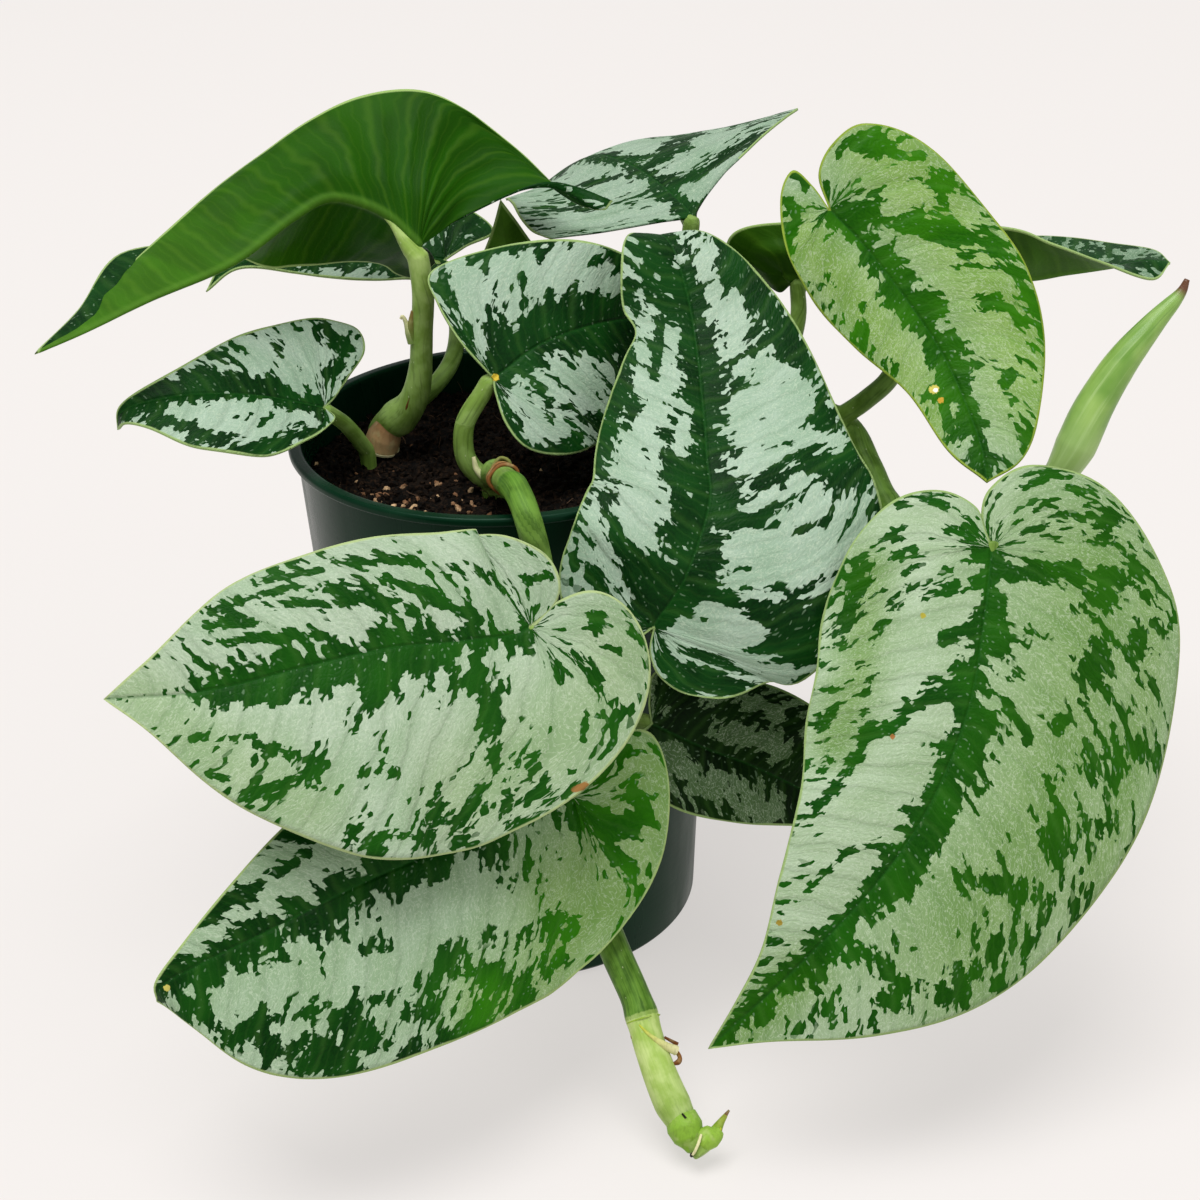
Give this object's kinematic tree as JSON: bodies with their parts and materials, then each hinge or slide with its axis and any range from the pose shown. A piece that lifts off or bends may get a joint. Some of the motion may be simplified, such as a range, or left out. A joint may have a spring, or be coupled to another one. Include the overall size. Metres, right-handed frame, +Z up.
{
  "type": "satin pothos in a nursery pot",
  "caption": "Satin pothos house plant: heart-shaped silver-marked leaves on trailing stems, a rolled new leaf, soil and a dark green pot.",
  "frame": {"origin": "middle of the pot's foot, on the surface it stands on", "axes": "+Z up, the plant's front faces -Y, +X to the plant's right as seen in the picture"},
  "size_m": [0.2736, 0.2288, 0.2161],
  "materials": {
    "pot_plastic": "satin",
    "potting_soil": "matte",
    "blade_green": "satin",
    "stem_green": "satin",
    "new_leaf_green": "satin"
  },
  "bodies": {
    "root": {"pot": "pot_plastic", "soil": "potting_soil", "stem_left": "stem_green", "stem_small_left": "stem_green", "vine_front": "stem_green", "vine_right": "stem_green", "stem_back": "stem_green", "stem_inner": "stem_green", "new_leaf": "new_leaf_green", "leaf_arched_left": "blade_green", "leaf_small_left": "blade_green", "leaf_back_centre": "blade_green", "leaf_inner": "blade_green", "leaf_tall_centre": "blade_green", "leaf_upper_right": "blade_green", "leaf_hanging_right": "blade_green", "leaf_front_upper": "blade_green", "leaf_front_lower": "blade_green", "leaf_shaded": "blade_green", "leaf_far_right": "blade_green", "leaf_far_left": "blade_green", "leaf_behind": "blade_green"}
  },
  "joints": []
}
